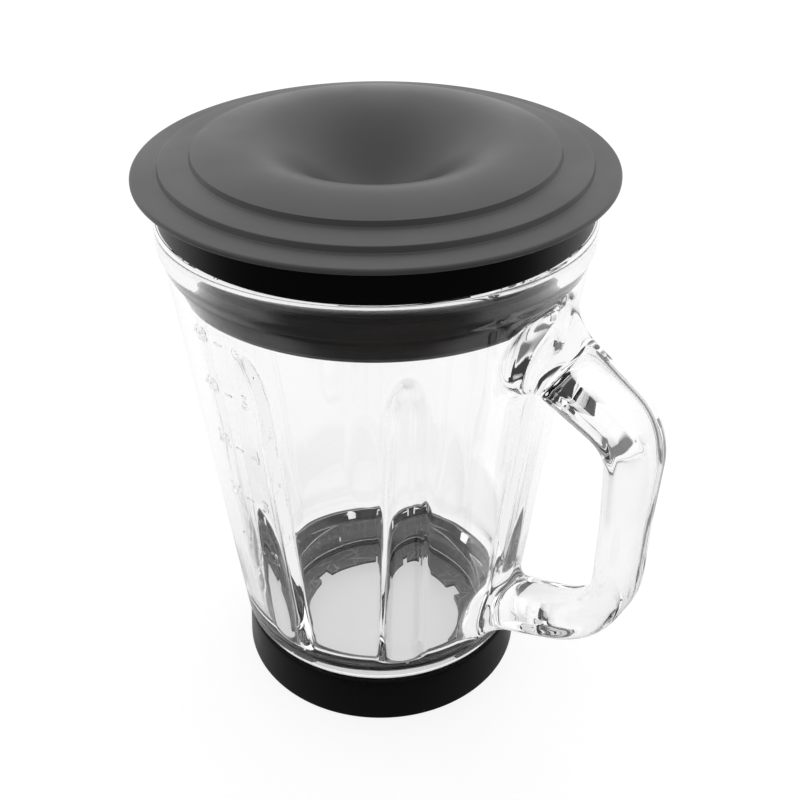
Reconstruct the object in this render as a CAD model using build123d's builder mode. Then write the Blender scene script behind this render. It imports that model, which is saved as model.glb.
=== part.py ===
from build123d import *
from math import atan2, cos, sqrt
import os

# Blender jar: a tapered glass jar with a glass handle, a push-in lid and an open base ring.
# Millimetres, +Z up. The origin is on the jar's axis, in the plane that the base ring stands on.
# The handle points along +X.

# Base ring
ring_wall = 5.5              # at its top edge
ring_draft = 1.0             # how much wider the ring is where it stands
ring_foot_round = 0.8
ring_top_round = 1.4
socket_inset = 2.4           # recess underneath, in from the bore of the ring
socket_depth = 4.0
ledge_thickness = 2.5        # inner ledge that carries the glass
ledge_reach = 8.4            # how far the ledge reaches in past the bore of the glass
notch_count = 6              # gaps in the edge of the hole that takes the blade unit from below
notch_width = 7.0
notch_depth = 3.5

# Gasket between the ledge and the glass
gasket_thickness = 1.5
gasket_inset = 0.4           # how far the gasket stays inside the edges of the neck

# Glass neck, and the lugs that hold the ring on it
heel_step = 8.7              # how far the neck is set in from the foot of the wall
neck_wall = 5.0
lug_count = 3
lug_arc = 36.0               # degrees
lug_reach = 2.2
lug_height = 2.6
lug_lead = 1.2               # plain neck below the lugs
neck_land = 4.9              # plain neck above the lugs
ring_clearance = 0.3         # between the glass and the ring

# Glass wall
wall_height = 165.2          # from the foot to the rim
foot_radius = 53.1           # outside of the wall at the foot, before the heel is rounded
rim_radius = 70.8            # outside of the wall at the rim, without its lip
lip_proud = 0.4              # how far the lip at the rim stands out from the wall
lip_height = 8.0
lip_run = 4.0                # height over which the wall swells into the lip
lip_blend = 6.0
wall = 4.5
heel_round = 4.5
floor_wall = 8.0             # glass under the inner floor where it meets the wall
floor_rise = 7.0             # how far the inner floor climbs from the neck to the wall
floor_round = 11.0
bore_round = 3.5
rim_round = 1.6

# Ribs on the inside of the wall
rib_count = 8
rib_turn = 2.5               # turn of the ribs from the handle, in degrees
rib_foot_radius = 13.5       # roundness of a rib at the floor
rib_top_radius = 9.5         # and at its upper end
rib_foot_height = 3.0        # how far a rib stands in from the wall at the floor
rib_top_height = 2.4
rib_end = 27.0               # distance of a rib's upper end below the rim
rib_blend = 2.0

# Handle
grip_stand = 30.2            # how far the centre line of the grip stands out from the rim
grip_drop = 47.5             # how far below the rim the top bar's line meets the grip's
grip_lift = 41.0             # how far above the foot of the wall the foot bar's line meets it
top_bar_slope = 0.53         # fall of the top bar for each mm away from the jar
foot_bar_slope = 0.365       # climb of the foot bar for each mm away from the jar
top_bend = 17.0              # radii of the centre line at the two corners
foot_bend = 32.0
grip_width = 19.0
grip_thickness = 13.0
top_bar_width = 30.0         # the bars swell from the grip to the wall
top_bar_thickness = 19.0
foot_bar_width = 23.0
foot_bar_thickness = 16.5
handle_round = 5.5
grip_from = 0.50             # share of the handle's length where the even grip begins and ends
grip_to = 0.66
top_root_round = 9.0         # where the handle grows out of the wall
foot_root_round = 9.0

# Lid
flange_overhang = 6.5        # how far the flange reaches past the collar of the seal
flange_edge = 1.8
flange_slope = 0.06          # climb of the flange for each mm towards the middle
flange_land = 8.9            # width of the flange outside the outer step
outer_step_rise = 1.9
ring_land = 10.0             # width of the flat ring between the steps
inner_step_rise = 1.8
step_run = 1.0               # width of each step's slope
step_round = 0.9
ring_slope = 0.09            # climb of the flat ring between the steps
dome_land = 14.1             # from the inner step to the highest circle of the domed ring
crest_rise = 2.5             # above the inner step
funnel_depth = 23.0          # below the crest
crest_run = 18.0             # how far in the crest stays level before it falls into the funnel
dome_run = 6.5               # how far out it stays level towards the inner step
tip_run = 14.0               # how far out the bottom of the funnel stays level
lid_wall = 2.4
plug_depth = 20.4            # how far the plug reaches below the rim

# Soft seal round the plug: a collar between the flange and the rim, and a sleeve inside the glass
collar_inset = 0.8           # in from the glass below it
collar_height = 12.6
collar_round = 0.8
rim_clearance = 0.3          # between the collar and the rim
seal_clearance = 0.35        # between the sleeve and the glass
seal_thickness = 1.55        # at its thin lower end
seal_groove_depth = 1.0
seal_groove_height = 2.0
seal_grooves = 2
bead_inset = 0.35            # the lip that keeps the sleeve on, in from the sleeve's face

# Heights of the stack, from the surface up
ledge_top = socket_depth + ledge_thickness
neck_foot = ledge_top + gasket_thickness
lug_foot = neck_foot + lug_lead
lug_top = lug_foot + lug_height
neck_top = lug_top + lug_height + neck_land
ring_height = neck_top - ring_clearance
rim_height = neck_top + wall_height

# Radii of the stack, from the foot of the wall inwards and out again
neck_radius = foot_radius - heel_step
neck_bore = neck_radius - neck_wall
lug_radius = neck_radius + lug_reach
ring_bore = lug_radius + ring_clearance
ring_top_radius = ring_bore + ring_wall
ring_foot_radius = ring_top_radius + ring_draft
socket_radius = ring_bore - socket_inset
ledge_opening = neck_bore - ledge_reach

# Half section on the side away from the handle, so that the seam of a turned wall is clear of it
back_half = Plane(origin=(0, 0, 0), x_dir=(-1, 0, 0), z_dir=(0, 1, 0))

# Slope of the wall
taper = (rim_radius - foot_radius) / wall_height
wall_level = wall / cos(atan2(taper, 1))


def outside(height):
    return foot_radius + taper * (height - neck_top)


def inside(height):
    return outside(height) - wall_level


# One rib, a tapered round bar that leans with the wall and is sunk in it
rib_start = neck_top
rib_top_half = sqrt(rib_top_radius**2 - (rib_top_radius - rib_top_height) ** 2)
rib_stop = rim_height - rib_end - rib_top_half
rib_length = (rib_stop - rib_start) / cos(atan2(taper, 1))
rib_axis_foot = inside(rib_start) - rib_foot_height + rib_foot_radius
rib_axis_top = inside(rib_stop) - rib_top_height + rib_top_radius
rib_plane = Plane(
    origin=(rib_axis_foot, 0, rib_start),
    x_dir=(0, 1, 0),
    z_dir=(rib_axis_top - rib_axis_foot, 0, rib_stop - rib_start),
)

with BuildPart(rib_plane) as rib:
    Cone(rib_foot_radius, rib_top_radius, rib_length, align=(Align.CENTER, Align.CENTER, Align.MIN))
    with Locations((0, 0, rib_length)):
        Sphere(rib_top_radius)

# Room inside the glass: the cone of the wall, the floor and the bore of the neck, less the ribs
floor_edge = neck_top + floor_wall
bore_top = floor_edge - floor_rise
with BuildPart() as room:
    with BuildSketch(Plane.XZ):
        with BuildLine():
            FilletPolyline(
                (0, neck_foot - wall),
                (neck_bore, neck_foot - wall),
                (neck_bore, bore_top),
                (inside(floor_edge), floor_edge),
                (inside(rim_height + wall), rim_height + wall),
                (0, rim_height + wall),
                radius=[0, 0, bore_round, floor_round, 0, 0],
                close=True,
            )
        make_face()
    revolve(axis=Axis.Z)
    with PolarLocations(0, rib_count, start_angle=rib_turn):
        add(rib.part, mode=Mode.SUBTRACT)
    cones = room.faces().filter_by(GeomType.CONE)
    rib_sides = [face for face in cones if abs(face.axis_of_rotation.direction.Z) < 0.9999]
    fillet([edge for side in rib_sides for edge in side.edges()], rib_blend)

# Lug on the neck
with BuildPart() as neck_lug:
    with BuildSketch(Plane.XZ):
        with Locations((neck_bore + bore_round, lug_foot)):
            Rectangle(lug_radius - neck_bore - bore_round, lug_height, align=(Align.MIN, Align.MIN))
    revolve(axis=Axis.Z, revolution_arc=lug_arc)

# Glass jar: one piece with its handle, ribs, neck and lugs
lip_radius = rim_radius + lip_proud
lip_foot = rim_height - lip_height
grip_reach = rim_radius + grip_stand
grip_top = rim_height - grip_drop
grip_foot = neck_top + grip_lift
top_root = grip_top + top_bar_slope * (grip_reach - neck_radius)
foot_root = grip_foot - foot_bar_slope * (grip_reach - neck_radius)

handle_sections = (
    (0, top_bar_width, top_bar_thickness),
    (grip_from, grip_width, grip_thickness),
    (grip_to, grip_width, grip_thickness),
    (1, foot_bar_width, foot_bar_thickness),
)

with BuildPart() as glass_jar:
    with BuildSketch(back_half):
        with BuildLine():
            FilletPolyline(
                (0, neck_foot),
                (neck_radius, neck_foot),
                (neck_radius, neck_top),
                (foot_radius, neck_top),
                (outside(lip_foot - lip_run), lip_foot - lip_run),
                (lip_radius, lip_foot),
                (lip_radius, rim_height),
                (0, rim_height),
                radius=[0, 0, 0, heel_round, lip_blend, lip_blend, 0, 0],
                close=True,
            )
        make_face()
    revolve(axis=Axis.Z)
    with BuildLine(Plane.XZ) as handle_path:
        FilletPolyline(
            (neck_radius, top_root),
            (grip_reach, grip_top),
            (grip_reach, grip_foot),
            (neck_radius, foot_root),
            radius=[top_bend, foot_bend],
        )
    handle_line = handle_path.wire()
    for place, width, thickness in handle_sections:
        with BuildSketch(Plane(handle_line @ place, x_dir=(0, 1, 0), z_dir=handle_line % place)):
            RectangleRounded(width, thickness, handle_round)
    sweep(path=handle_line, multisection=True)
    cone_wall = glass_jar.faces().filter_by(GeomType.CONE).sort_by(SortBy.AREA)[-1]
    roots = cone_wall.inner_wires().sort_by(Axis.Z)
    fillet(roots[-1].edges(), top_root_round)
    cone_wall = glass_jar.faces().filter_by(GeomType.CONE).sort_by(SortBy.AREA)[-1]
    roots = cone_wall.inner_wires().sort_by(Axis.Z)
    fillet(roots[0].edges(), foot_root_round)
    with PolarLocations(0, lug_count):
        add(neck_lug.part)
    add(room.part, mode=Mode.SUBTRACT)
    rim_edges = glass_jar.edges().filter_by(GeomType.CIRCLE).group_by(Axis.Z)[-1]
    fillet(rim_edges, rim_round)
glass_jar.part.label = "glass_jar"

# Base ring
with BuildPart() as ring_lug:
    with BuildSketch(Plane.XZ):
        with Locations((neck_radius + ring_clearance, lug_top)):
            Rectangle(ring_bore - neck_radius, lug_height, align=(Align.MIN, Align.MIN))
    revolve(axis=Axis.Z, revolution_arc=lug_arc)

with BuildPart() as base_ring:
    with BuildSketch(Plane.XZ):
        with BuildLine():
            FilletPolyline(
                (socket_radius, 0),
                (ring_foot_radius, 0),
                (ring_top_radius, ring_height),
                (ring_bore, ring_height),
                (ring_bore, ledge_top),
                (ledge_opening, ledge_top),
                (ledge_opening, socket_depth),
                (socket_radius, socket_depth),
                radius=[0, ring_foot_round, ring_top_round, 0, 0, 0, 0, 0],
                close=True,
            )
        make_face()
    revolve(axis=Axis.Z)
    with PolarLocations(0, lug_count):
        add(ring_lug.part)
    with BuildSketch(Plane.XY.offset(socket_depth)):
        with PolarLocations(ledge_opening, notch_count):
            Rectangle(2 * notch_depth, notch_width)
    extrude(amount=ledge_thickness, mode=Mode.SUBTRACT)
base_ring.part.label = "base_ring"

# Gasket
with BuildPart() as jar_gasket:
    with BuildSketch(Plane.XY.offset(ledge_top)):
        Circle(neck_radius - gasket_inset)
        Circle(neck_bore + gasket_inset, mode=Mode.SUBTRACT)
    extrude(amount=gasket_thickness)
jar_gasket.part.label = "jar_gasket"

# Lid: radii from the rim inwards, then heights from the rim up
collar_radius = rim_radius - collar_inset
flange_radius = collar_radius + flange_overhang
outer_step_radius = flange_radius - flange_land
inner_step_radius = outer_step_radius - ring_land
crest_radius = inner_step_radius - dome_land
collar_foot = rim_height + rim_clearance
flange_under = collar_foot + collar_height
flange_top = flange_under + flange_edge
outer_step_foot = flange_top + flange_slope * (flange_radius - outer_step_radius)
outer_step_top = outer_step_foot + outer_step_rise
inner_step_foot = outer_step_top + ring_slope * (outer_step_radius - inner_step_radius)
inner_step_top = inner_step_foot + inner_step_rise
crest = inner_step_top + crest_rise
funnel_tip = crest - funnel_depth
skirt_foot = rim_height - plug_depth
plug_skirt_radius = inside(skirt_foot) - seal_clearance - seal_thickness
seal_bead = seal_thickness - bead_inset
skirt_inside = plug_skirt_radius - lid_wall


def lid_dome(depth):
    Bezier(
        (inner_step_radius, inner_step_top - depth),
        (crest_radius + dome_run, crest - depth),
        (crest_radius, crest - depth),
    )
    Bezier(
        (crest_radius, crest - depth),
        (crest_radius - crest_run, crest - depth),
        (tip_run, funnel_tip - depth),
        (0, funnel_tip - depth),
    )


with BuildPart() as lid:
    with BuildSketch(Plane.XZ):
        with BuildLine():
            FilletPolyline(
                (flange_radius, flange_under),
                (flange_radius, flange_top),
                (outer_step_radius + step_run, outer_step_foot),
                (outer_step_radius, outer_step_top),
                (inner_step_radius + step_run, inner_step_foot),
                (inner_step_radius, inner_step_top),
                radius=[flange_edge / 2, step_round, step_round, step_round],
            )
            lid_dome(0)
            Line((0, funnel_tip), (0, funnel_tip - lid_wall))
            lid_dome(lid_wall)
            Polyline(
                (inner_step_radius, inner_step_top - lid_wall),
                (skirt_inside, inner_step_foot - lid_wall),
                (skirt_inside, skirt_foot),
                (plug_skirt_radius + seal_bead, skirt_foot),
                (plug_skirt_radius + seal_bead, skirt_foot + seal_bead),
                (plug_skirt_radius, skirt_foot + seal_bead),
                (plug_skirt_radius, flange_under),
                (flange_radius, flange_under),
            )
        make_face()
    revolve(axis=Axis.Z)
lid.part.label = "lid"

# Seal: the lands of its sleeve follow the taper of the glass
seal_foot = skirt_foot + seal_bead
seal_land_height = (collar_foot - seal_foot - seal_grooves * seal_groove_height) / (seal_grooves + 1)


def seal_face(height):
    return inside(height) - seal_clearance


with BuildPart() as lid_seal:
    with BuildSketch(Plane.XZ):
        with BuildLine():
            FilletPolyline(
                (plug_skirt_radius, seal_foot),
                (seal_face(seal_foot), seal_foot),
                (seal_face(collar_foot), collar_foot),
                (collar_radius, collar_foot),
                (collar_radius, flange_under),
                (plug_skirt_radius, flange_under),
                radius=[0, 0, 0, collar_round, 0, 0],
                close=True,
            )
        make_face()
        for groove in range(seal_grooves):
            groove_foot = seal_foot + seal_land_height + groove * (seal_land_height + seal_groove_height)
            with Locations((seal_face(groove_foot) - seal_groove_depth, groove_foot)):
                Rectangle(wall, seal_groove_height, align=(Align.MIN, Align.MIN), mode=Mode.SUBTRACT)
    revolve(axis=Axis.Z)
lid_seal.part.label = "lid_seal"

os.makedirs("parts", exist_ok=True)
export_step(glass_jar.part, "parts/glass_jar.step")
export_step(base_ring.part, "parts/base_ring.step")
export_step(jar_gasket.part, "parts/jar_gasket.step")
export_step(lid.part, "parts/lid.step")
export_step(lid_seal.part, "parts/lid_seal.step")
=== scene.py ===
from math import atan2, cos, hypot, pi, radians, sin, sqrt, tan

import bmesh
import bpy
from mathutils import Matrix, Vector, geometry, noise


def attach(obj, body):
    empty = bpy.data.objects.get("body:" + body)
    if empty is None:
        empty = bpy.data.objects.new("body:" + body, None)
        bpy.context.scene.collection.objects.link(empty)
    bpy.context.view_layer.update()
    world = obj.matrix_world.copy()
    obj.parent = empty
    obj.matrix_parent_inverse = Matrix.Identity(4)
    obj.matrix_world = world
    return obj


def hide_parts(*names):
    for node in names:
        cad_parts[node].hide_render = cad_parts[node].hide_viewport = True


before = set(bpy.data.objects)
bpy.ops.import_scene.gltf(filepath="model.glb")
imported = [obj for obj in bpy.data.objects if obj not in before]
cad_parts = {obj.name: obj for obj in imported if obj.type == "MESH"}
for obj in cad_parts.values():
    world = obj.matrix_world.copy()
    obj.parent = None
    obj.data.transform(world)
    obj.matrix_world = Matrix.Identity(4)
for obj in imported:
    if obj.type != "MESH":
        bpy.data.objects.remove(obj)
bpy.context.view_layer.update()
scene = bpy.context.scene
scene.view_settings.view_transform = "Standard"
mm = 0.001
# points closer than this, in metres, are one
weld = 1e-6
# about how far one segment of a rounded corner turns, in radians
cornerTurn = 0.16
print("frame loaded:", ", ".join(sorted(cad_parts)))


def linkPiece(bm, name):
    mesh = bpy.data.meshes.new(name)
    bm.to_mesh(mesh)
    bm.free()
    piece = bpy.data.objects.new(name, mesh)
    scene.collection.objects.link(piece)
    return piece


def smoothFaces(piece, angle):
    piece.data.shade_smooth()
    piece.data.set_sharp_from_angle(angle=radians(angle))


def drawProfile(bm, corners, closed=True):
    # corners are (radius, height, roundness) in mm, drawn in the XZ plane
    verts = [bm.verts.new((r * mm, 0, z * mm)) for r, z, _ in corners]
    pairs = list(zip(verts, verts[1:]))
    if closed:
        pairs.append((verts[-1], verts[0]))
    for a, b in pairs:
        bm.edges.new((a, b))
    places = [v.co.copy() for v in verts]
    for i, (vert, corner) in enumerate(zip(verts, corners)):
        if not corner[2]:
            continue
        back = (places[i - 1] - places[i]).normalized()
        ahead = (places[(i + 1) % len(places)] - places[i]).normalized()
        turn = pi - back.angle(ahead)
        bmesh.ops.bevel(
            bm, geom=[vert], offset=corner[2] * mm * tan(turn / 2), offset_type="OFFSET",
            affect="VERTICES", segments=max(3, round(turn / cornerTurn)), profile=0.5, material=-1,
        )


def divideLong(bm, spacing):
    for edge in list(bm.edges):
        cuts = int(edge.calc_length() / (spacing * mm))
        if cuts:
            bmesh.ops.subdivide_edges(bm, edges=[edge], cuts=cuts)


def spinProfile(bm, steps):
    bmesh.ops.spin(
        bm, geom=bm.verts[:] + bm.edges[:], cent=(0, 0, 0), axis=(0, 0, 1), dvec=(0, 0, 0),
        angle=2 * pi, steps=steps, use_merge=True,
    )
    bmesh.ops.remove_doubles(bm, verts=bm.verts[:], dist=weld)
    bmesh.ops.recalc_face_normals(bm, faces=bm.faces[:])


def joinSolids(piece, other, operation):
    # the exact boolean, kept as plain mesh
    cut = piece.modifiers.new("join", "BOOLEAN")
    cut.operation = operation
    cut.solver = "EXACT"
    cut.object = other
    graph = bpy.context.evaluated_depsgraph_get()
    mesh = bpy.data.meshes.new_from_object(piece.evaluated_get(graph))
    piece.modifiers.clear()
    old = piece.data
    piece.data = mesh
    bpy.data.meshes.remove(old)
    otherMesh = other.data
    bpy.data.objects.remove(other)
    bpy.data.meshes.remove(otherMesh)


# glass jar: a turned wall with ribs pressed into its inside
jarSizes = {
    "neckFoot": 8.0, "neckTop": 19.3, "neckRadius": 44.4, "neckBore": 39.4,
    "footRadius": 53.1, "rimRadius": 70.8, "rimHeight": 184.5, "wall": 4.5,
    "lipProud": 0.4, "lipHeight": 8.0, "lipRun": 4.0, "lipBlend": 6.0, "rimRound": 1.6, "neckRound": 0.6,
    "heelRound": 4.5, "floorEdge": 27.3, "boreTop": 20.3, "floorRound": 11.0, "boreRound": 3.5,
    "steps": 320, "rowSpacing": 2.0, "sharpAngle": 38, "insideMargin": 1.0,
    "waver": 0.10, "waverLength": 16.0, "waverSquash": 0.6,
    # the waver starts this far above the bore and ends this far below the rim, each over its run
    "waverFoot": 4.0, "waverFootRun": 12.0, "waverTop": 10.0, "waverTopRun": 15.0,
}
ribSizes = {
    "count": 8, "footRadius": 13.5, "topRadius": 9.2, "footHeight": 3.0, "topHeight": 2.6,
    "end": 26.0, "endRun": 18.0, "turn": 2.5, "blend": 0.12,
}
j = jarSizes
taper = (j["rimRadius"] - j["footRadius"]) / (j["rimHeight"] - j["neckTop"])
wallLevel = j["wall"] / cos(atan2(taper, 1))


def wallRadius(height):
    return j["footRadius"] + taper * (height - j["neckTop"])


def roomRadius(height):
    return wallRadius(height) - wallLevel


def ribRise(height, around):
    # how far a rib stands in from the wall here, 0 beside it
    b = ribSizes
    pitch = 2 * pi / b["count"]
    swing = (around - radians(b["turn"]) + pitch / 2) % pitch - pitch / 2
    topHalf = sqrt(b["topRadius"] ** 2 - (b["topRadius"] - b["topHeight"]) ** 2)
    stop = j["rimHeight"] - b["end"] - b["endRun"]
    share = min(max((height - j["neckTop"]) / (stop - j["neckTop"]), 0), 1)
    radius = b["footRadius"] + (b["topRadius"] - b["footRadius"]) * share
    rise = b["footHeight"] + (b["topHeight"] - b["footHeight"]) * share
    # the upper end is a long half oval
    off = hypot(roomRadius(height) * sin(swing), max(height - stop, 0) * topHalf / b["endRun"])
    swell = rise - radius + sqrt(max(radius ** 2 - off ** 2, 0))
    # the edge runs out softly into the wall
    soft = b["blend"]
    return max(swell, 0) if abs(swell) > soft else (swell + soft) ** 2 / (4 * soft)


def pressRibs(bm):
    for vert in bm.verts:
        x, y, z = (c / mm for c in vert.co)
        radius = hypot(x, y)
        # only the inside of the wall is pressed
        if z < j["boreTop"] or radius > roomRadius(z) + j["insideMargin"]:
            continue
        pressed = min(radius, roomRadius(z) - ribRise(z, atan2(y, x)))
        # slow unevenness of pressed glass, gone at the rim and in the neck
        rising = (z - j["boreTop"] - j["waverFoot"]) / j["waverFootRun"]
        falling = (j["rimHeight"] - j["waverTop"] - z) / j["waverTopRun"]
        fade = min(max(rising, 0), 1) * min(max(falling, 0), 1)
        spot = Vector((x, y, z * j["waverSquash"])) / j["waverLength"]
        pressed += j["waver"] * fade * noise.noise(spot)
        vert.co.x *= pressed / radius
        vert.co.y *= pressed / radius


lipRadius = j["rimRadius"] + j["lipProud"]
lipFoot = j["rimHeight"] - j["lipHeight"]
lipStart = lipFoot - j["lipRun"]
bm = bmesh.new()
drawProfile(bm, [
    (j["neckBore"], j["neckFoot"], j["neckRound"]),
    (j["neckRadius"], j["neckFoot"], j["neckRound"]),
    (j["neckRadius"], j["neckTop"], 0),
    (j["footRadius"], j["neckTop"], j["heelRound"]),
    (wallRadius(lipStart), lipStart, j["lipBlend"]),
    (lipRadius, lipFoot, j["lipBlend"]),
    (lipRadius, j["rimHeight"], j["rimRound"]),
    (roomRadius(j["rimHeight"]), j["rimHeight"], j["rimRound"]),
    (roomRadius(j["floorEdge"]), j["floorEdge"], j["floorRound"]),
    (j["neckBore"], j["boreTop"], j["boreRound"]),
])
divideLong(bm, j["rowSpacing"])
spinProfile(bm, j["steps"])
pressRibs(bm)
glassJar = linkPiece(bm, "glassJar")
print("jar wall turned:", len(glassJar.data.polygons), "faces")


# handle: a bar of rounded section, drawn out along its line and spread where it leaves the wall
handleSizes = {
    "reach": 101.0, "top": 137.0, "foot": 60.3, "topSlope": 0.53, "footSlope": 0.365,
    "topBend": 17.0, "footBend": 32.0,
    "grip": (19.0, 13.0), "topBar": (30.0, 19.0), "footBar": (23.0, 16.5), "round": 5.5,
    "evenFrom": 0.50, "evenTo": 0.66, "topSpread": 9.0, "footSpread": 9.0, "sunk": 2.2, "step": 3.0,
    "roundSegments": 7, "sectionStep": 1.6, "hugRun": 14.0,
    "bendSteps": 8, "bendAngle": 6, "halvings": 40,
    # distances from the wall of the sections in the spread
    "rootGaps": (0.0, 0.25, 0.6, 1.1, 1.8, 2.8, 4.2, 6.0, 8.0),
}
h = handleSizes


def bendLine(corner, before, after, radius):
    # start, end, centre and turn of the arc that rounds one corner of the handle's line
    turn = before.angle(after)
    start = corner - before * radius * tan(turn / 2)
    end = corner + after * radius * tan(turn / 2)
    side = Vector((before.y, -before.x))
    return start, end, start + side * radius, turn


def handleStations():
    topLine = Vector((1, -h["topSlope"])).normalized()
    down = Vector((0, -1))
    footLine = Vector((-1, -h["footSlope"])).normalized()
    topCorner = Vector((h["reach"], h["top"]))
    footCorner = Vector((h["reach"], h["foot"]))
    begin = topCorner - topLine * (h["reach"] - j["neckRadius"]) * hypot(1, h["topSlope"])
    finish = footCorner + footLine * (h["reach"] - j["neckRadius"]) * hypot(1, h["footSlope"])
    bendOneStart, bendOneEnd, bendOneCentre, bendOne = bendLine(topCorner, topLine, down, h["topBend"])
    bendTwoStart, bendTwoEnd, bendTwoCentre, bendTwo = bendLine(footCorner, down, footLine, h["footBend"])
    points = []

    def straight(a, b):
        count = max(2, int((b - a).length / h["step"]))
        for i in range(count):
            points.append((a.lerp(b, i / count), (b - a).normalized()))

    def arc(start, centre, turn, heading):
        count = max(h["bendSteps"], int(turn / radians(h["bendAngle"])))
        for i in range(count):
            swing = Matrix.Rotation(-turn * i / count, 2)
            points.append((centre + swing @ (start - centre), swing @ heading))

    straight(begin, bendOneStart)
    arc(bendOneStart, bendOneCentre, bendOne, topLine)
    straight(bendOneEnd, bendTwoStart)
    arc(bendTwoStart, bendTwoCentre, bendTwo, down)
    straight(bendTwoEnd, finish)
    points.append((finish, footLine))
    return points


def barSize(share):
    if share < h["evenFrom"]:
        first, mix = h["topBar"], share / h["evenFrom"]
        return [a + (b - a) * mix for a, b in zip(first, h["grip"])]
    if share > h["evenTo"]:
        mix = (share - h["evenTo"]) / (1 - h["evenTo"])
        return [a + (b - a) * mix for a, b in zip(h["grip"], h["footBar"])]
    return list(h["grip"])


def wallGap(point):
    # distance of a point of the handle's line from the outside of the wall, along the level
    return point.x - wallRadius(point.y)


def rootStations(points, spread):
    # the first points of a bar, set close together for the spread, and where it meets the wall
    inside = [p for p in points if wallGap(p[0]) <= 0][-1]
    outside = [p for p in points if wallGap(p[0]) > 0][0]
    low, high = inside[0], outside[0]
    for _ in range(h["halvings"]):
        middle = (low + high) / 2
        if wallGap(middle) > 0:
            high = middle
        else:
            low = middle
    heading = outside[1]
    gaps = [-h["sunk"], *h["rootGaps"]]
    return [(high + heading * g, heading, g) for g in gaps if g < spread], high


def handleFrame(place, along, across, width, thickness):
    # unit section to the place: X is the bar's thickness, Y its width, Z the way it runs
    thick = Vector((across.x, 0, across.y)) * thickness
    wide = Vector((0, 1, 0)) * width
    run = Vector((along.x, 0, along.y))
    matrix = Matrix((thick, wide, run)).transposed().to_4x4()
    matrix.translation = Vector((place.x, 0, place.y)) * mm
    return matrix


def buildHandle():
    points = handleStations()
    lengths = [0]
    for a, b in zip(points, points[1:]):
        lengths.append(lengths[-1] + (b[0] - a[0]).length)
    total = lengths[-1]
    stations = []
    rootTop, topMeet = rootStations(points[: len(points) // 2], h["topSpread"])
    reverse = [(p, -d) for p, d in reversed(points)]
    rootFoot, footMeet = rootStations(reverse[: len(points) // 2], h["footSpread"])
    lean = Vector((taper, 1)).normalized()
    for place, heading, gap in rootTop:
        share = (place - points[0][0]).length / total
        stations.append((place, heading, share, gap, h["topSpread"]))
    for (place, heading), length in zip(points, lengths):
        nearTop = (place - topMeet).length < h["topSpread"] or wallGap(place) < 0
        nearFoot = (place - footMeet).length < h["footSpread"]
        if not nearTop and not nearFoot:
            gap = min((place - topMeet).length, (place - footMeet).length)
            stations.append((place, heading, length / total, gap, 0))
    for place, heading, gap in reversed(rootFoot):
        share = 1 - (place - points[-1][0]).length / total
        stations.append((place, -heading, share, gap, h["footSpread"]))

    bm = bmesh.new()
    half = [s / 2 for s in h["grip"]]
    corners = [(-half[1], -half[0]), (half[1], -half[0]), (half[1], half[0]), (-half[1], half[0])]
    verts = [bm.verts.new((x * mm, y * mm, 0)) for x, y in corners]
    for a, b in zip(verts, verts[1:] + verts[:1]):
        bm.edges.new((a, b))
    bmesh.ops.bevel(
        bm, geom=verts, offset=h["round"] * mm, offset_type="OFFSET", affect="VERTICES",
        segments=h["roundSegments"], profile=0.5, material=-1,
    )
    divideLong(bm, h["sectionStep"])
    ring = bm.edges[:]
    placed = Matrix.Identity(4)
    rings = []
    for i, (place, heading, share, gap, spread) in enumerate(stations):
        across = Vector((-heading.y, heading.x))
        width, thickness = barSize(share)
        if spread:
            near = 1 - max(gap, 0) / spread
            upright = lean if across.dot(lean) > 0 else -lean
            across = across.lerp(upright, near).normalized()
            grown = spread * (1 - sqrt(max(1 - near * near, 0)))
            width += 2 * grown
            thickness += 2 * grown
        matrix = handleFrame(place, heading, across, width / h["grip"][0], thickness / h["grip"][1])
        if i:
            out = bmesh.ops.extrude_edge_only(bm, edges=ring)["geom"]
            ring = [e for e in out if isinstance(e, bmesh.types.BMEdge)]
            moved = [v for v in out if isinstance(v, bmesh.types.BMVert)]
        else:
            moved = bm.verts[:]
        bmesh.ops.transform(bm, matrix=matrix @ placed.inverted(), verts=moved)
        placed = matrix
        rings.append((moved, place, gap))
    # rings beside the wall bend round it
    for moved, place, gap in rings:
        hug = 1 - min(max(gap, 0) / h["hugRun"], 1)
        if not hug:
            continue
        radius = wallRadius(place.y) * mm
        for vert in moved:
            vert.co.x -= hug * (radius - sqrt(max(radius * radius - vert.co.y ** 2, 0)))
    bmesh.ops.holes_fill(bm, edges=[e for e in bm.edges if e.is_boundary], sides=0)
    bmesh.ops.recalc_face_normals(bm, faces=bm.faces[:])
    return linkPiece(bm, "handleBar")


# scale: raised numbers with a tick between the two columns, on the outside of the wall
scaleSizes = {
    "marks": [
        ("48", "6", 161.0), ("40", "5", 142.0), ("32", "4", 120.0), ("24", "3", 98.0), ("16", "2", 74.0),
    ],
    "tickPlace": -94.0, "leftPlace": -101.5, "rightPlace": -87.5,
    "letterSize": 7.4, "letterSteps": 4, "tickLength": 3.2, "tickWidth": 0.55,
    "proud": 0.32, "sunk": 0.5,
}


def wrapMark(verts, place, height):
    # from flat, in metres, to the cone of the wall
    for vert in verts:
        z = height + vert.co.y / mm
        radius = wallRadius(z) + vert.co.z / mm
        around = radians(place) + vert.co.x / mm / wallRadius(height)
        vert.co = Vector((radius * cos(around), radius * sin(around), z)) * mm


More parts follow.
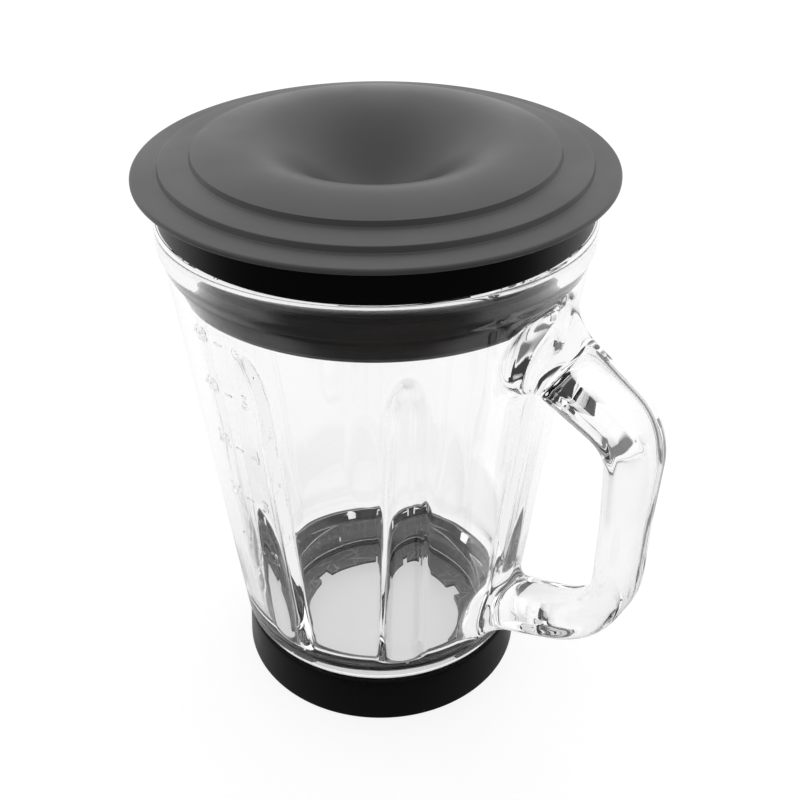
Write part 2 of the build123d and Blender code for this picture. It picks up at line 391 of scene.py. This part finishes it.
def addNumber(bm, words, place, height):
    s = scaleSizes
    letters = bpy.data.curves.new("scaleNumber", "FONT")
    letters.body = words
    letters.size = s["letterSize"] * mm
    letters.align_x = letters.align_y = "CENTER"
    letters.resolution_u = s["letterSteps"]
    flat = bpy.data.objects.new("scaleNumber", letters)
    scene.collection.objects.link(flat)
    graph = bpy.context.evaluated_depsgraph_get()
    mesh = bpy.data.meshes.new_from_object(flat.evaluated_get(graph))
    bpy.data.objects.remove(flat)
    bpy.data.curves.remove(letters)
    number = bmesh.new()
    number.from_mesh(mesh)
    bmesh.ops.remove_doubles(number, verts=number.verts[:], dist=weld)
    bmesh.ops.translate(number, vec=(0, 0, -s["sunk"] * mm), verts=number.verts[:])
    raised = bmesh.ops.extrude_face_region(number, geom=number.faces[:], use_keep_orig=True)["geom"]
    raised = [v for v in raised if isinstance(v, bmesh.types.BMVert)]
    bmesh.ops.translate(number, vec=(0, 0, (s["proud"] + s["sunk"]) * mm), verts=raised)
    wrapMark(number.verts, place, height)
    number.to_mesh(mesh)
    number.free()
    bm.from_mesh(mesh)
    bpy.data.meshes.remove(mesh)


def addTick(bm, place, height):
    s = scaleSizes
    tick = bmesh.ops.create_cube(bm, size=1)["verts"]
    bmesh.ops.scale(
        bm, vec=Vector((s["tickLength"], s["tickWidth"], s["proud"] + s["sunk"])) * mm, verts=tick,
    )
    bmesh.ops.translate(bm, vec=(0, 0, (s["proud"] - s["sunk"]) * mm / 2), verts=tick)
    wrapMark(tick, place, height)


# lugs of the bayonet, three on the neck and three in the ring
lugSizes = {
    "count": 3, "arc": 36.0, "arcSteps": 18, "height": 2.6, "neckFoot": 9.2, "ringFoot": 11.8,
    "neckInside": 42.9, "neckOutside": 46.6, "ringInside": 44.7, "ringOutside": 47.4,
}


def addLugs(bm, inside, outside, foot):
    g = lugSizes
    for i in range(g["count"]):
        start = Matrix.Rotation(2 * pi * i / g["count"], 4, "Z")
        top = foot + g["height"]
        corners = [(inside, foot), (outside, foot), (outside, top), (inside, top)]
        face = bm.faces.new([bm.verts.new(start @ Vector((r * mm, 0, z * mm))) for r, z in corners])
        bmesh.ops.spin(
            bm, geom=[face] + face.verts[:] + face.edges[:], cent=(0, 0, 0), axis=(0, 0, 1),
            dvec=(0, 0, 0), angle=radians(g["arc"]), steps=g["arcSteps"],
        )


bm = bmesh.new()
for left, right, height in scaleSizes["marks"]:
    addNumber(bm, left, scaleSizes["leftPlace"], height)
    addNumber(bm, right, scaleSizes["rightPlace"], height)
    addTick(bm, scaleSizes["tickPlace"], height)
addLugs(bm, lugSizes["neckInside"], lugSizes["neckOutside"], lugSizes["neckFoot"])
bmesh.ops.remove_doubles(bm, verts=bm.verts[:], dist=weld)
bmesh.ops.recalc_face_normals(bm, faces=bm.faces[:])
marks = linkPiece(bm, "scaleMarks")

joinSolids(glassJar, buildHandle(), "UNION")
joinSolids(glassJar, marks, "UNION")
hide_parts("glass_jar")
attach(glassJar, "jar")
smoothFaces(glassJar, j["sharpAngle"])
print("handle, lugs and scale joined:", len(glassJar.data.polygons), "faces")


# lid: one turned shell with its steps, domed ring and funnel
lidSizes = {
    "flangeRadius": 76.5, "outerStep": 67.6, "innerStep": 57.6, "crestRadius": 43.5,
    "flangeUnder": 197.4, "flangeTop": 199.2, "outerFoot": 199.73, "outerTop": 201.63,
    "innerFoot": 202.53, "innerTop": 204.33, "crest": 206.83, "tip": 183.83,
    "domeRun": 6.5, "crestRun": 18.0, "tipRun": 14.0, "wall": 2.4, "stepRun": 0.7, "stepRound": 0.45,
    "skirtRadius": 62.19, "skirtFoot": 164.1, "bead": 1.2,
    "flangeUnderRound": 0.5, "flangeTopRound": 0.9, "hollowRound": 1.0, "footRound": 0.4, "beadRound": 0.2,
    "domePoints": 14, "funnelPoints": 40, "steps": 256, "rowSpacing": 3.0, "sharpAngle": 50,
}
d = lidSizes


def domeLine(depth):
    step = Vector((d["innerStep"], d["innerTop"] - depth))
    top = Vector((d["crestRadius"], d["crest"] - depth))
    pull = Vector((d["crestRadius"] + d["domeRun"], d["crest"] - depth))
    tip = Vector((0, d["tip"] - depth))
    # handles two thirds of the way to the pull give the curve with that one control point
    rise = geometry.interpolate_bezier(
        step, step.lerp(pull, 2 / 3), top.lerp(pull, 2 / 3), top, d["domePoints"],
    )
    fall = geometry.interpolate_bezier(
        top, top - Vector((d["crestRun"], 0)), tip + Vector((d["tipRun"], 0)), tip, d["funnelPoints"],
    )
    return [(p.x, p.y, 0) for p in rise[:-1] + fall]


skirtInside = d["skirtRadius"] - d["wall"]
beadRadius = d["skirtRadius"] + d["bead"]
beadTop = d["skirtFoot"] + d["bead"]
bm = bmesh.new()
drawProfile(bm, [
    (d["flangeRadius"], d["flangeUnder"], d["flangeUnderRound"]),
    (d["flangeRadius"], d["flangeTop"], d["flangeTopRound"]),
    (d["outerStep"] + d["stepRun"], d["outerFoot"], d["stepRound"]),
    (d["outerStep"], d["outerTop"], d["stepRound"]),
    (d["innerStep"] + d["stepRun"], d["innerFoot"], d["stepRound"]),
] + domeLine(0) + list(reversed(domeLine(d["wall"]))) + [
    (skirtInside, d["innerFoot"] - d["wall"], d["hollowRound"]),
    (skirtInside, d["skirtFoot"], d["footRound"]),
    (beadRadius, d["skirtFoot"], d["footRound"]),
    (beadRadius, beadTop, d["beadRound"]),
    (d["skirtRadius"], beadTop, 0),
    (d["skirtRadius"], d["flangeUnder"], 0),
])
# both ends of the funnel line lie on the axis, so the edge between them goes
axisEdges = [e for e in bm.edges if all(abs(v.co.x) < weld for v in e.verts)]
bmesh.ops.delete(bm, geom=axisEdges, context="EDGES")
divideLong(bm, d["rowSpacing"])
spinProfile(bm, d["steps"])
lidShell = linkPiece(bm, "lidShell")
smoothFaces(lidShell, d["sharpAngle"])
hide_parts("lid")
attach(lidShell, "lid")
print("lid turned:", len(lidShell.data.polygons), "faces")


# seal: a smooth collar between the flange and the rim, and a grooved sleeve inside the glass
sealSizes = {
    "bore": 62.19, "foot": 165.3, "collarFoot": 184.8, "collarTop": 197.4, "collarRadius": 70.0,
    "clearance": 0.35, "grooves": (170.467, 177.633), "grooveHeight": 2.0, "grooveDepth": 1.0,
    "collarRound": 0.8, "edge": 0.4, "steps": 256, "rowSpacing": 2.5, "sharpAngle": 50,
}


def sleeveRadius(height):
    return roomRadius(height) - sealSizes["clearance"]


s = sealSizes
line = [(s["bore"], s["foot"], 0), (sleeveRadius(s["foot"]), s["foot"], s["edge"])]
for foot in s["grooves"]:
    top = foot + s["grooveHeight"]
    bottom = sleeveRadius(foot) - s["grooveDepth"]
    line += [
        (sleeveRadius(foot), foot, s["edge"]), (bottom, foot, s["edge"]),
        (bottom, top, s["edge"]), (sleeveRadius(top), top, s["edge"]),
    ]
line += [
    (sleeveRadius(s["collarFoot"]), s["collarFoot"], s["edge"]),
    (s["collarRadius"], s["collarFoot"], s["collarRound"]),
    (s["collarRadius"], s["collarTop"], 0),
    (s["bore"], s["collarTop"], 0),
]
bm = bmesh.new()
drawProfile(bm, line)
divideLong(bm, s["rowSpacing"])
spinProfile(bm, s["steps"])
lidSeal = linkPiece(bm, "lidSeal")
smoothFaces(lidSeal, s["sharpAngle"])
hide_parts("lid_seal")
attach(lidSeal, "lid")
print("seal turned:", len(lidSeal.data.polygons), "faces")


# base ring: a turned band with an inner ledge, notched round its opening
ringSizes = {
    "footRadius": 53.4, "topRadius": 52.4, "height": 19.0, "bore": 46.9, "socket": 44.5,
    "socketDepth": 4.0, "ledgeTop": 6.5, "opening": 31.0, "footRound": 0.8, "topRound": 1.4, "edge": 0.35,
    "notches": 6, "notchWidth": 7.0, "notchDepth": 3.5, "steps": 240, "rowSpacing": 2.5,
    "softEdge": 0.3, "softSegments": 3, "softAngle": 55, "sharpAngle": 35,
}
r = ringSizes
bm = bmesh.new()
drawProfile(bm, [
    (r["socket"], 0, r["edge"]),
    (r["footRadius"], 0, r["footRound"]),
    (r["topRadius"], r["height"], r["topRound"]),
    (r["bore"], r["height"], r["edge"]),
    (r["bore"], r["ledgeTop"], 0),
    (r["opening"], r["ledgeTop"], r["edge"]),
    (r["opening"], r["socketDepth"], r["edge"]),
    (r["socket"], r["socketDepth"], r["edge"]),
])
divideLong(bm, r["rowSpacing"])
spinProfile(bm, r["steps"])
baseRing = linkPiece(bm, "baseRing")

bm = bmesh.new()
addLugs(bm, lugSizes["ringInside"], lugSizes["ringOutside"], lugSizes["ringFoot"])
bmesh.ops.recalc_face_normals(bm, faces=bm.faces[:])
joinSolids(baseRing, linkPiece(bm, "ringLugs"), "UNION")
bm = bmesh.new()
for i in range(r["notches"]):
    size = Vector((2 * r["notchDepth"], r["notchWidth"], r["ledgeTop"])) * mm
    place = Vector((r["opening"], 0, (r["ledgeTop"] + r["socketDepth"]) / 2)) * mm
    notch = bmesh.ops.create_cube(bm, size=1)["verts"]
    bmesh.ops.scale(bm, vec=size, verts=notch)
    bmesh.ops.translate(bm, vec=place, verts=notch)
    bmesh.ops.rotate(bm, matrix=Matrix.Rotation(2 * pi * i / r["notches"], 3, "Z"), verts=notch)
joinSolids(baseRing, linkPiece(bm, "notches"), "DIFFERENCE")
soft = baseRing.modifiers.new("soft edges", "BEVEL")
soft.width = r["softEdge"] * mm
soft.segments = r["softSegments"]
soft.limit_method = "ANGLE"
soft.angle_limit = radians(r["softAngle"])
smoothFaces(baseRing, r["sharpAngle"])
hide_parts("base_ring")
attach(baseRing, "jar")
print("ring turned and notched:", len(baseRing.data.polygons), "faces")


# gasket: a flat ring of rubber under the neck
gasketSizes = {
    "inside": 39.8, "outside": 44.0, "foot": 6.5, "top": 8.0, "edge": 0.3, "steps": 180, "sharpAngle": 50,
}
g = gasketSizes
bm = bmesh.new()
drawProfile(bm, [
    (g["inside"], g["foot"], g["edge"]), (g["outside"], g["foot"], g["edge"]),
    (g["outside"], g["top"], g["edge"]), (g["inside"], g["top"], g["edge"]),
])
spinProfile(bm, g["steps"])
jarGasket = linkPiece(bm, "jarGasket")
smoothFaces(jarGasket, g["sharpAngle"])
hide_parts("jar_gasket")
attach(jarGasket, "jar")
print("gasket turned")


def blendValues(nodes, links, operation, first, second):
    math = nodes.new("ShaderNodeMath")
    math.operation = operation
    for socket, value in zip(math.inputs, (first, second)):
        if isinstance(value, (int, float)):
            socket.default_value = value
        else:
            links.new(value, socket)
    return math.outputs["Value"]


def rangeValues(nodes, links, source, fromLow, fromHigh, toLow, toHigh):
    spread = nodes.new("ShaderNodeMapRange")
    spread.interpolation_type = "SMOOTHSTEP"
    ends = {"From Min": fromLow, "From Max": fromHigh, "To Min": toLow, "To Max": toHigh}
    for socket, value in ends.items():
        spread.inputs[socket].default_value = value
    links.new(source, spread.inputs["Value"])
    return spread.outputs["Result"]


def alongValues(nodes, links, source, direction):
    along = nodes.new("ShaderNodeVectorMath")
    along.operation = "DOT_PRODUCT"
    along.inputs[1].default_value = direction
    links.new(source, along.inputs[0])
    return along.outputs["Value"]


# finishes, all on object coordinates
class Finish:
    def __init__(self, name, color, roughness):
        self.material = bpy.data.materials.new(name)
        self.material.use_nodes = True
        self.nodes, self.links = self.material.node_tree.nodes, self.material.node_tree.links
        self.shader = self.nodes["Principled BSDF"]
        self.set("Base Color", (*color, 1))
        self.set("Roughness", roughness)
        self.place = self.nodes.new("ShaderNodeTexCoord").outputs["Object"]

    def set(self, socket, value):
        self.shader.inputs[socket].default_value = value

    def feed(self, socket, output):
        self.links.new(output, self.shader.inputs[socket])

    def fitted(self, location=(0, 0, 0), turn=(0, 0, 0), scale=(1, 1, 1)):
        fit = self.nodes.new("ShaderNodeMapping")
        fit.vector_type = "TEXTURE"
        fit.inputs["Location"].default_value = location
        fit.inputs["Rotation"].default_value = turn
        fit.inputs["Scale"].default_value = scale
        self.links.new(self.place, fit.inputs["Vector"])
        return fit.outputs["Vector"]

    def speckle(self, scale, detail, where=None):
        cloud = self.nodes.new("ShaderNodeTexNoise")
        cloud.inputs["Scale"].default_value = scale
        cloud.inputs["Detail"].default_value = detail
        self.links.new(where or self.place, cloud.inputs["Vector"])
        return cloud.outputs["Fac"]

    def ranged(self, source, fromLow, fromHigh, toLow, toHigh):
        return rangeValues(self.nodes, self.links, source, fromLow, fromHigh, toLow, toHigh)

    def mixed(self, share, first, second):
        blend = self.nodes.new("ShaderNodeMix")
        blend.data_type = "RGBA"
        self.links.new(share, blend.inputs["Factor"])
        for socket, value in (("A", first), ("B", second)):
            target = [i for i in blend.inputs if i.name == socket and i.type == "RGBA"][0]
            if isinstance(value, tuple):
                target.default_value = (*value, 1)
            else:
                self.links.new(value, target)
        return [o for o in blend.outputs if o.type == "RGBA"][0]

    def blend(self, operation, first, second):
        return blendValues(self.nodes, self.links, operation, first, second)

    def relief(self, source, strength, depth):
        bump = self.nodes.new("ShaderNodeBump")
        bump.inputs["Strength"].default_value = strength
        bump.inputs["Distance"].default_value = depth * mm
        self.links.new(source, bump.inputs["Height"])
        self.feed("Normal", bump.outputs["Normal"])

    def wear(self, piece):
        piece.data.materials.clear()
        piece.data.materials.append(self.material)


# clear pressed glass: a trace of green-grey, drawn slightly uneven
clearGlass = Finish("clearGlass", (0.985, 0.988, 0.982), 0.0)
clearGlass.set("Transmission Weight", 1.0)
clearGlass.set("IOR", 1.5)
streaks = clearGlass.speckle(scale=26, detail=2, where=clearGlass.fitted(scale=(1, 1, 2.5)))
clearGlass.feed("Base Color", clearGlass.mixed(streaks, (0.982, 0.986, 0.983), (0.996, 0.997, 0.996)))
clearGlass.relief(streaks, strength=0.12, depth=1.0)
# light caught in the wall leaves it again after four mirrorings
mirrorings = clearGlass.nodes.new("ShaderNodeLightPath").outputs["Glossy Depth"]
clearGlass.feed("Alpha", clearGlass.blend("LESS_THAN", mirrorings, 3.5))
clearGlass.wear(glassJar)

# fine-grained matte plastic with a little handling shine
matteLid = Finish("matteLid", (0.052, 0.052, 0.052), 0.42)
grain = matteLid.speckle(scale=1400, detail=3)
handled = matteLid.speckle(scale=34, detail=4)
matteLid.feed("Base Color", matteLid.mixed(handled, (0.046, 0.046, 0.046), (0.058, 0.058, 0.059)))
matteLid.feed("Roughness", matteLid.ranged(handled, 0.3, 0.7, 0.36, 0.46))
matteLid.relief(grain, strength=0.35, depth=0.05)
matteLid.wear(lidShell)

# smooth satin plastic, scuffed all over the inside, where it is painted light grey, partly as dust and
# partly as a painted sheen of the light from above
wearDustSheenLook = {
    # in mm: the heights between which the dust and painted sheen begin, and the radii between which they
    # end
    "footFrom": 4.6, "footTo": 5.6, "edgeFrom": 47.8, "edgeTo": 47.2,
    "scratchTurns": (20, 75, 130, 165), "scratchShift": 0.003, "scratchLength": 12,
    "clean": (0.004, 0.004, 0.004), "dustAndPaintedSheen": (0.26, 0.26, 0.256), "scratch": (0.60, 0.60, 0.59),
}
satinRing = Finish("satinRing", wearDustSheenLook["clean"], 0.3)
satinRing.set("Specular IOR Level", 0.12)
smudge = satinRing.speckle(scale=60, detail=4)
satinRing.feed("Roughness", satinRing.ranged(smudge, 0.3, 0.7, 0.24, 0.36))
axes = satinRing.nodes.new("ShaderNodeSeparateXYZ")
satinRing.links.new(satinRing.place, axes.inputs["Vector"])
above = satinRing.ranged(axes.outputs["Z"], wearDustSheenLook["footFrom"] * mm, wearDustSheenLook["footTo"] * mm, 0, 1)
squares = [satinRing.blend("MULTIPLY", axes.outputs[axis], axes.outputs[axis]) for axis in "XY"]
across = satinRing.blend("POWER", satinRing.blend("ADD", *squares), 0.5)
within = satinRing.ranged(across, wearDustSheenLook["edgeFrom"] * mm, wearDustSheenLook["edgeTo"] * mm, 0, 1)
inside = satinRing.blend("MULTIPLY", above, within)
scratches = None
for turn in wearDustSheenLook["scratchTurns"]:
    drawn = satinRing.fitted(
        (wearDustSheenLook["scratchShift"] * turn, 0, 0), (0, 0, radians(turn)), (1, wearDustSheenLook["scratchLength"], 1),
    )
    scratch = satinRing.ranged(satinRing.speckle(scale=900, detail=3, where=drawn), 0.60, 0.68, 0, 1)
    scratches = satinRing.blend("MAXIMUM", scratches, scratch) if scratches else scratch
patchy = satinRing.blend("MULTIPLY", scratches, satinRing.ranged(smudge, 0.35, 0.6, 0.2, 1))
worn = satinRing.blend("MULTIPLY", inside, patchy)
# the inside is painted light grey: partly dust, partly a painted sheen standing in for light falling on
# the ledge
dustAndPaintedSheenColor = satinRing.mixed(inside, wearDustSheenLook["clean"], wearDustSheenLook["dustAndPaintedSheen"])
satinRing.feed("Base Color", satinRing.mixed(worn, dustAndPaintedSheenColor, wearDustSheenLook["scratch"]))
satinRing.relief(satinRing.speckle(scale=420, detail=2), strength=0.1, depth=0.02)
satinRing.wear(baseRing)

# soft rubber, browner and rougher where the sleeve is pressed flat on the glass
rubberLook = {
    # each patch: its angle and height, and how far it reaches sideways and up or down, in mm
    "contacts": [
        (-44, 171, 27, 8), (-92, 174, 12, 9), (8, 175, 16, 7),
        (70, 172, 22, 8), (140, 174, 26, 7), (-150, 171, 18, 8),
    ],
    "contactDepth": 20, "free": (0.0025, 0.0026, 0.0028), "touching": (0.008, 0.005, 0.0042),
}
blackRubber = Finish("blackRubber", (0.005, 0.005, 0.005), 0.36)
blackRubber.set("Specular IOR Level", 0.14)
pressed = None
for place, height, wide, high in rubberLook["contacts"]:
    spot = Vector((cos(radians(place)), sin(radians(place)), 0)) * roomRadius(height) * mm
    spot.z = height * mm
    near = blackRubber.nodes.new("ShaderNodeTexGradient")
    near.gradient_type = "SPHERICAL"
    size = Vector((rubberLook["contactDepth"], wide, high)) * mm
    blackRubber.links.new(blackRubber.fitted(spot, (0, 0, radians(place)), size), near.inputs["Vector"])
    patch = near.outputs["Fac"]
    pressed = blackRubber.blend("MAXIMUM", pressed, patch) if pressed else patch
fringe = blackRubber.ranged(blackRubber.speckle(scale=90, detail=3), 0.2, 0.8, -0.12, 0.12)
touching = blackRubber.ranged(blackRubber.blend("ADD", pressed, fringe), 0.14, 0.22, 0, 1)
blackRubber.feed("Base Color", blackRubber.mixed(touching, rubberLook["free"], rubberLook["touching"]))
blackRubber.feed("Roughness", blackRubber.ranged(touching, 0, 1, 0.34, 0.5))
rubbed = blackRubber.speckle(scale=700, detail=3, where=blackRubber.fitted(scale=(6, 6, 1)))
blackRubber.relief(rubbed, strength=0.05, depth=0.01)
blackRubber.wear(lidSeal)
blackRubber.wear(jarGasket)
print("finishes set")


# studio: a white sweep, bright behind and at both sides, dim towards the camera
studio = {
    "camera": (0.2166, -0.2557, 0.332), "tilt": 56.2, "roll": 0.0, "heading": 39.0, "lens": 50.4,
    "clipStart": 0.01, "floorRadius": 4.0, "floorSegments": 96, "paper": (0.8, 0.8, 0.8),
    # each soft box: how far back, right and up it is aimed, its half angle in degrees, its power
    "softBoxes": {
        "backdrop": (1.0, 0.0, 0.30, 80, 0.75),
        "left": (0.1, -1.0, 0.25, 62, 0.42),
        "right": (0.1, 1.0, 0.25, 62, 0.42),
        "overhead": (0.1, 0.0, 1.0, 55, 0.62),
    },
    # share of the half angle at full power, and the light from everywhere else
    "boxCore": 0.35, "fill": 0.32,
    # floor glow and tone as the camera sees it and as it shows through the glass
    "seen": (0.84, 0.22), "through": (0.56, 0.50),
    # and as it mirrors in the parts: dim in front of the object, white behind it
    "mirrorFront": 0.05, "mirrorBack": 0.95, "mirrorFrom": -0.12, "mirrorTo": 0.10,
    # light through the glass that was mirrored on its way meets a dim front too
    "throughFront": 0.20, "throughFrom": -0.24, "throughTo": -0.16,
}
cameraData = bpy.data.cameras.new("camera")
cameraData.lens = studio["lens"]
cameraData.clip_start = studio["clipStart"]
camera = bpy.data.objects.new("camera", cameraData)
camera.location = studio["camera"]
camera.rotation_euler = (radians(studio["tilt"]), radians(studio["roll"]), radians(studio["heading"]))
scene.collection.objects.link(camera)
scene.camera = camera

world = bpy.data.worlds.new("studio")
scene.world = world
world.use_nodes = True
nodes, links = world.node_tree.nodes, world.node_tree.links
background = nodes["Background"]
background.inputs["Color"].default_value = (1, 1, 1, 1)
direction = nodes.new("ShaderNodeTexCoord")
away = Vector((-sin(radians(studio["heading"])), cos(radians(studio["heading"])), 0))
side = Vector((away.y, -away.x, 0))
level = studio["fill"]
for name, (back, right, up, width, power) in studio["softBoxes"].items():
    aim = (away * back + side * right + Vector((0, 0, up))).normalized()
    facing = alongValues(nodes, links, direction.outputs["Generated"], aim)
    edge, core = cos(radians(width)), cos(radians(width * studio["boxCore"]))
    box = rangeValues(nodes, links, facing, edge, core, 0, power)
    box.node.label = name
    level = blendValues(nodes, links, "ADD", box, level)
# the white background shows to the camera, and through glass too
rays = nodes.new("ShaderNodeLightPath")
strength = nodes.new("ShaderNodeMix")
links.new(blendValues(
    nodes, links, "MAXIMUM", rays.outputs["Is Camera Ray"], rays.outputs["Is Transmission Ray"],
), strength.inputs["Factor"])
links.new(level, strength.inputs["A"])
strength.inputs["B"].default_value = 1.0
links.new(strength.outputs["Result"], background.inputs["Strength"])

bm = bmesh.new()
bmesh.ops.create_circle(
    bm, cap_ends=True, segments=studio["floorSegments"], radius=studio["floorRadius"],
)
floor = linkPiece(bm, "floor")
paper = Finish("paper", studio["paper"], 0.9)
nodes, links = paper.nodes, paper.links
nodes.remove(paper.shader)
rays = nodes.new("ShaderNodeLightPath")
plain = nodes.new("ShaderNodeBsdfDiffuse")
plain.inputs["Color"].default_value = (*studio["paper"], 1)


def chooseRay(surface, ray, shader):
    choose = nodes.new("ShaderNodeMixShader")
    links.new(rays.outputs[ray], choose.inputs["Fac"])
    links.new(surface, choose.inputs[1])
    links.new(shader, choose.inputs[2])
    return choose.outputs["Shader"]


def whiteShade(glowStrength, tone):
    shade = nodes.new("ShaderNodeBsdfDiffuse")
    shade.inputs["Color"].default_value = (tone, tone, tone, 1)
    glow = nodes.new("ShaderNodeEmission")
    glow.inputs["Strength"].default_value = glowStrength
    white = nodes.new("ShaderNodeAddShader")
    links.new(shade.outputs["BSDF"], white.inputs[0])
    links.new(glow.outputs["Emission"], white.inputs[1])
    return white.outputs["Shader"]


behind = alongValues(nodes, links, paper.place, away)
mirror = nodes.new("ShaderNodeEmission")
links.new(paper.ranged(
    behind, studio["mirrorFrom"], studio["mirrorTo"], studio["mirrorFront"], studio["mirrorBack"],
), mirror.inputs["Strength"])
front = nodes.new("ShaderNodeEmission")
front.inputs["Strength"].default_value = studio["throughFront"]
through = nodes.new("ShaderNodeMixShader")
# light that has not been mirrored on its way meets white all round
unmirrored = blendValues(nodes, links, "LESS_THAN", rays.outputs["Glossy Depth"], 0.5)
rear = paper.ranged(behind, studio["throughFrom"], studio["throughTo"], 0, 1)
links.new(blendValues(nodes, links, "MAXIMUM", rear, unmirrored), through.inputs["Fac"])
links.new(front.outputs["Emission"], through.inputs[1])
links.new(whiteShade(*studio["through"]), through.inputs[2])
surface = chooseRay(plain.outputs["BSDF"], "Is Glossy Ray", mirror.outputs["Emission"])
surface = chooseRay(surface, "Is Transmission Ray", through.outputs["Shader"])
surface = chooseRay(surface, "Is Camera Ray", whiteShade(*studio["seen"]))
links.new(surface, nodes["Material Output"].inputs["Surface"])
paper.wear(floor)
print("studio set")
